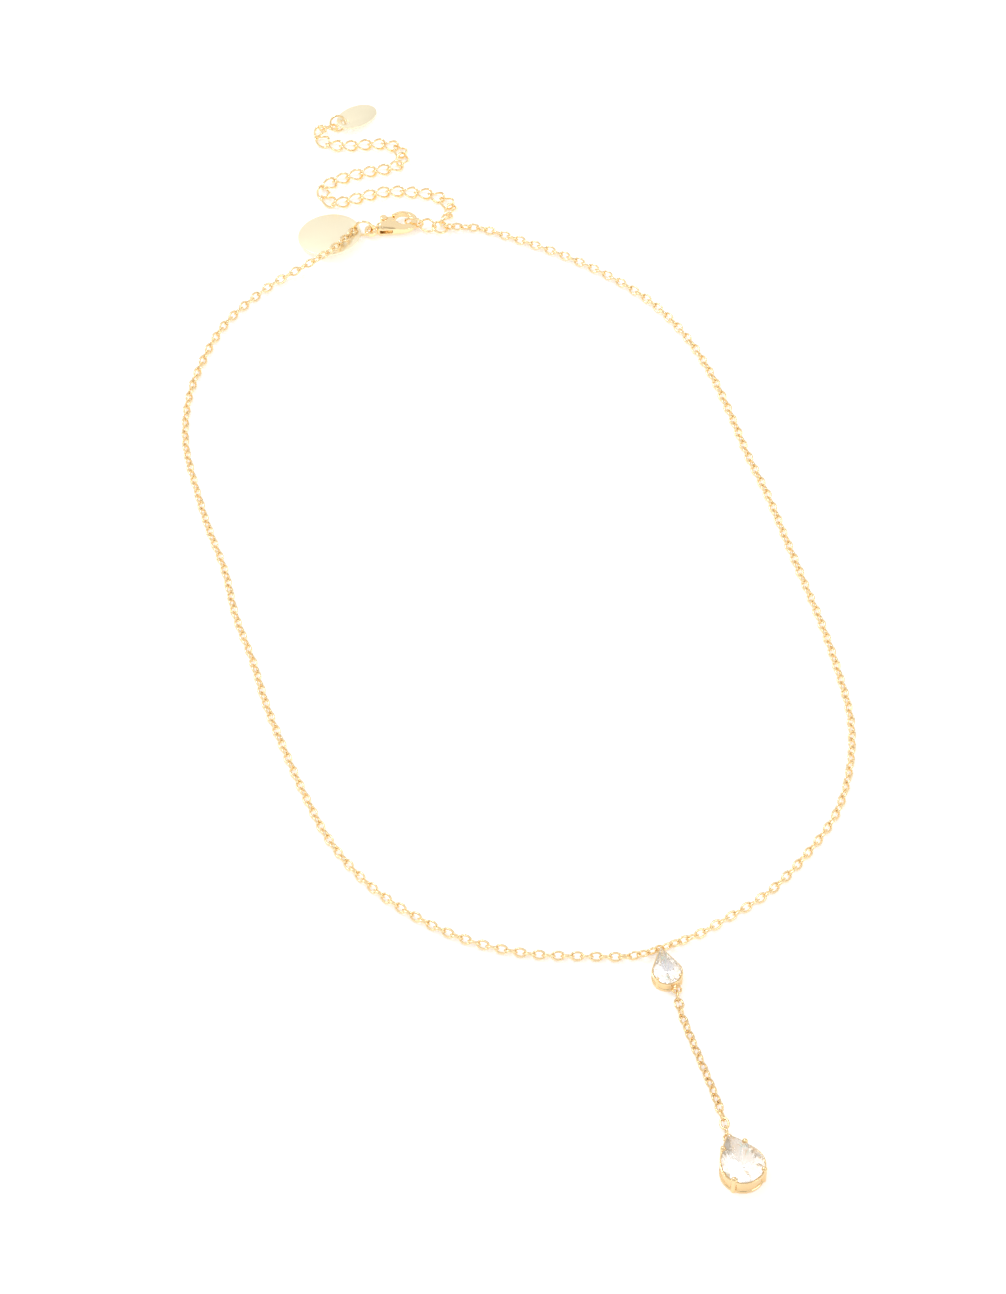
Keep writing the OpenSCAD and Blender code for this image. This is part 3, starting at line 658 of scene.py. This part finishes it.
class NECKLACE_OT_extender(bpy.types.Operator):
    """Builds the extender's links"""
    bl_idname = "necklace.extender"
    bl_label = "Extender chain"

    def execute(self, context):
        sizes = context.scene.necklace_extender
        low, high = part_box("end_ring")
        middle = (low + high) / 2
        ring = Vector((middle.x, middle.y, 0))
        start = middle + level(EXTENDER_WAY) * EXTENDER_HANG
        joints = spaced(smooth_route([start] + [Vector(p) + ring for p in EXTENDER_POINTS]), sizes.pitch)
        last = len(joints) - 2

        def roll_of(i):
            rolls = [min(0, EXTENDER_END_ROLL + EXTENDER_ROLL_STEP * k) for k in (i, last - i)]
            return math.radians(sum(rolls))

        piece = new_mesh("extender_links", linked(extender_link(sizes, sizes.twist), joints, roll_of),
                         polished_gold())
        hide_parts("extender_chain")
        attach(piece, ROOT)
        piece = new_mesh("links_on_the_hook", hook_pair(sizes), polished_gold())
        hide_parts("hook_links")
        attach(piece, ROOT)
        return {"FINISHED"}


class NECKLACE_OT_castings(bpy.types.Operator):
    """Gives the settings, the clasp's body and its lever the soft shape of a casting"""
    bl_idname = "necklace.castings"
    bl_label = "Settings and clasp"

    def execute(self, context):
        sizes = context.scene.necklace_castings
        setting = (ROOT, drop_gold_painted_shade, sizes.setting_grain, sizes.setting_softness)
        # Piece, the solid it stands for, its body, metal, mesh size and rounds of smoothing
        rows = (
            ("small_setting", "setting_small", *setting),
            ("large_setting", "setting_large", *setting),
            ("clasp_case", "clasp_body", ROOT, polished_gold, sizes.clasp_grain, sizes.clasp_softness),
            ("clasp_thumb_lever", "clasp_lever", LEVER, polished_gold, sizes.clasp_grain,
             2 * sizes.clasp_softness),
        )
        for name, node, body, look, grain, softness in rows:
            bm = own_shape(node)
            if node == "clasp_body":
                widen_eye(bm, sizes)
            bm = cast(bm, grain, softness)
            if node == "clasp_body":
                dome(bm, sizes)
            piece = new_mesh(name, bm, look())
            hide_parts(node)
            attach(piece, body)
        return {"FINISHED"}


class NECKLACE_OT_tags(bpy.types.Operator):
    """Rounds the edges of the two tags"""
    bl_idname = "necklace.tags"
    bl_label = "Tags"

    def execute(self, context):
        edges = context.scene.necklace_tags
        for name, node in (("round_tag", "disc_tag"), ("oval_tag", "end_tag")):
            bm = softened(node, edges.rounding, edges.sharp)
            piece = new_mesh(name, bm, satin_gold(), crease=40)
            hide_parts(node)
            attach(piece, ROOT)
        return {"FINISHED"}


def cut_gem(node, overhang, lift, rng):
    """Bmesh of a stone cut finer: its rim stands over the setting's rail, and every facet but the
    table is split, each part painted with its own colour, a painted glint or painted reflection"""
    bm = own_shape(node)
    table = max(bm.faces, key=lambda f: f.normal.z * f.calc_center_median().z)
    upright = [e for e in bm.edges if abs(e.verts[0].co.z - e.verts[1].co.z) > GIRDLE_RISE
               and (e.verts[0].co.xy - e.verts[1].co.xy).length < GIRDLE_DRIFT]
    rim = [max(e.verts, key=lambda v: v.co.z) for e in upright]
    middle = table.calc_center_median()
    for vert in set(rim):
        out = Vector((vert.co.x - middle.x, vert.co.y - middle.y, 0)).normalized()
        vert.co += out * overhang + Vector((0, 0, lift))
    facets = [f for f in bm.faces if f is not table and abs(f.normal.z) > 0.1]
    bmesh.ops.poke(bm, faces=facets, offset=FACET_SWELL)
    # Painted glints and painted reflections: each facet gets a white, grey, tan, brown, blue or green colour
    # that stands in for what it reflects
    glint_colour = bm.loops.layers.float_color.new("facet")
    for face in bm.faces:
        shade = rng.choices(FACET_PAINTED_GLINTS, [row[0] for row in FACET_PAINTED_GLINTS])[0][1]
        for loop in face.loops:
            loop[glint_colour] = (*shade, 1)
    return bm


class NECKLACE_OT_gems(bpy.types.Operator):
    """Cuts the two stones finer"""
    bl_idname = "necklace.gems"
    bl_label = "Stones"

    def execute(self, context):
        sizes = context.scene.necklace_gems
        rng = random.Random(sizes.seed)
        for name, node in (("small_gem", "stone_small"), ("large_gem", "stone_large")):
            bm = cut_gem(node, sizes.overhang, sizes.lift, rng)
            piece = new_mesh(name, bm, clear_stone(), crease=1)
            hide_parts(node)
            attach(piece, ROOT)
        return {"FINISHED"}


class NECKLACE_OT_cad_looks(bpy.types.Operator):
    """Gives every solid that is shown as it stands its metal or stone"""
    bl_idname = "necklace.cad_looks"
    bl_label = "Metal and stones"

    def execute(self, context):
        kinds = {
            "polished_gold": ("setting_small", "setting_large", "clasp_body", "clasp_lever", "clasp_ring",
                              "end_ring", "tag_ring", "hook_links"),
            "chain_gold": ("chain_left", "chain_right", "drop_chain", "extender_chain"),
            "satin_gold": ("disc_tag", "end_tag"),
            "clear_stone": ("stone_small", "stone_large"),
        }
        makers = {"polished_gold": polished_gold, "chain_gold": chain_gold, "satin_gold": satin_gold,
                  "clear_stone": clear_stone}
        for kind, names in kinds.items():
            for name in names:
                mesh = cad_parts[name].data
                mesh.materials.clear()
                mesh.materials.append(makers[kind]())
        return {"FINISHED"}


class NECKLACE_OT_stage(bpy.types.Operator):
    """Makes the pale floor, the soft light and the camera"""
    bl_idname = "necklace.stage"
    bl_label = "Stage"

    def execute(self, context):
        sizes = context.scene.necklace_stage
        camera = bpy.data.cameras.new("camera")
        camera.lens = sizes.lens
        camera.clip_start = 0.01
        eye = bpy.data.objects.new("camera", camera)
        eye.location = (sizes.eye_side, -sizes.eye_back, sizes.eye_up)
        eye.rotation_euler = (sizes.eye_tilt, 0, 0)
        context.scene.collection.objects.link(eye)
        context.scene.camera = eye
        bm = bmesh.new()
        bmesh.ops.create_grid(bm, x_segments=1, y_segments=1, size=3)
        mesh = bpy.data.meshes.new("floor")
        bm.to_mesh(mesh)
        bm.free()
        floor = bpy.data.objects.new("floor", mesh)
        context.scene.collection.objects.link(floor)
        mesh.materials.append(paper_white())
        surroundings(sizes.sky)
        for row in LAMPS:
            lamp(*row)
        return {"FINISHED"}


def paper_white():
    """Plain white surface"""
    material = bpy.data.materials.new("paper_white")
    material.use_nodes = True
    shader = material.node_tree.nodes["Principled BSDF"]
    shader.inputs["Base Color"].default_value = (0.9, 0.885, 0.87, 1)
    shader.inputs["Roughness"].default_value = 1
    shader.inputs["Specular IOR Level"].default_value = 0
    shader.inputs["Emission Color"].default_value = (1, 1, 1, 1)
    shader.inputs["Emission Strength"].default_value = 0.3
    return material


def toward(nodes, links, way, inner, outer):
    """Mask of the surroundings: 1 within inner degrees of a direction, 0 beyond outer degrees"""
    place = nodes.new("ShaderNodeTexCoord")
    facing = nodes.new("ShaderNodeVectorMath")
    facing.operation = "DOT_PRODUCT"
    facing.inputs[1].default_value = Vector(way).normalized()
    edge = nodes.new("ShaderNodeMapRange")
    edge.interpolation_type = "SMOOTHSTEP"
    edge.inputs["From Min"].default_value = math.cos(math.radians(outer))
    edge.inputs["From Max"].default_value = math.cos(math.radians(inner))
    links.new(place.outputs["Generated"], facing.inputs[0])
    links.new(facing.outputs["Value"], edge.inputs["Value"])
    return edge.outputs["Result"]


# Dark things in the white studio: direction, half size in degrees, how dark
DARK_PATCHES = (
    ((0, -0.64, 0.77), 13, 0.55), ((-0.8, -0.45, 0.35), 15, 0.6), ((0.85, -0.2, 0.4), 14, 0.6),
    ((-0.6, 0.7, 0.3), 15, 0.55), ((0.5, 0.75, 0.35), 14, 0.6), ((0.25, -0.9, 0.2), 14, 0.6),
)
DARK_COLOUR = (0.2, 0.13, 0.07, 1)
# Each one fades out from this many degrees inside its half size to this many beyond it
FADE_INSIDE = 8
FADE_BEYOND = 6
# Soft lamps: name, place, side, power in watts
LAMPS = (("key", (-0.5, 0.35, 0.9), 0.3, 3), ("fill", (0.6, -0.3, 0.8), 0.3, 1))


def surroundings(strength):
    """White studio with a few dark things in it, such as the camera"""
    world = bpy.data.worlds.new("studio")
    world.use_nodes = True
    nodes = world.node_tree.nodes
    links = world.node_tree.links
    back = nodes["Background"]
    back.inputs["Strength"].default_value = strength
    colour = None
    for way, half, dark in DARK_PATCHES:
        mix = nodes.new("ShaderNodeMix")
        mix.data_type = "RGBA"
        depth = nodes.new("ShaderNodeMath")
        depth.operation = "MULTIPLY"
        depth.inputs[1].default_value = dark
        links.new(toward(nodes, links, way, half - FADE_INSIDE, half + FADE_BEYOND), depth.inputs[0])
        links.new(depth.outputs[0], mix.inputs["Factor"])
        mix.inputs["A"].default_value = (1, 1, 1, 1)
        mix.inputs["B"].default_value = DARK_COLOUR
        if colour:
            links.new(colour, mix.inputs["A"])
        colour = mix.outputs["Result"]
    links.new(colour, back.inputs["Color"])
    bpy.context.scene.world = world


def lamp(name, place, size, power):
    """Soft square light that faces the middle of the necklace"""
    light = bpy.data.lights.new(name, "AREA")
    light.size = size
    light.energy = power
    stand = bpy.data.objects.new(name, light)
    stand.location = place
    stand.rotation_euler = (-Vector(place)).to_track_quat("-Z", "Y").to_euler()
    bpy.context.scene.collection.objects.link(stand)


class NECKLACE_PT_panel(bpy.types.Panel):
    """Lists the pieces in the sidebar"""
    bl_idname = "NECKLACE_PT_panel"
    bl_label = "Y necklace"
    bl_space_type = "VIEW_3D"
    bl_region_type = "UI"
    bl_category = "Necklace"

    def draw(self, context):
        for operator in OPERATORS:
            self.layout.operator(operator.bl_idname)


OPERATORS = (NECKLACE_OT_stage, NECKLACE_OT_cad_looks, NECKLACE_OT_strands, NECKLACE_OT_drop_links,
             NECKLACE_OT_extender, NECKLACE_OT_castings, NECKLACE_OT_tags, NECKLACE_OT_gems)
GROUPS = {"necklace_fine_chain": FineChainSizes, "necklace_extender": ExtenderSizes,
          "necklace_castings": CastingSizes, "necklace_tags": TagSizes, "necklace_gems": GemSizes,
          "necklace_stage": StageSizes, "necklace_finishes": Finishes}


def register():
    """Makes the sizes, the operators and the panel known"""
    for group in GROUPS.values():
        bpy.utils.register_class(group)
    for name, group in GROUPS.items():
        setattr(bpy.types.Scene, name, PointerProperty(type=group))
    for operator in OPERATORS:
        bpy.utils.register_class(operator)
    bpy.utils.register_class(NECKLACE_PT_panel)


def unregister():
    """Takes them out again"""
    bpy.utils.unregister_class(NECKLACE_PT_panel)
    for operator in reversed(OPERATORS):
        bpy.utils.unregister_class(operator)
    for name in GROUPS:
        delattr(bpy.types.Scene, name)
    for group in reversed(list(GROUPS.values())):
        bpy.utils.unregister_class(group)


def main():
    """Builds the whole scene"""
    register()
    bpy.context.scene.view_settings.view_transform = "Standard"
    bpy.ops.necklace.stage()
    bpy.ops.necklace.cad_looks()
    bpy.ops.necklace.strands()
    bpy.ops.necklace.drop_links()
    bpy.ops.necklace.extender()
    bpy.ops.necklace.castings()
    bpy.ops.necklace.tags()
    bpy.ops.necklace.gems()


if __name__ == "__main__":
    main()
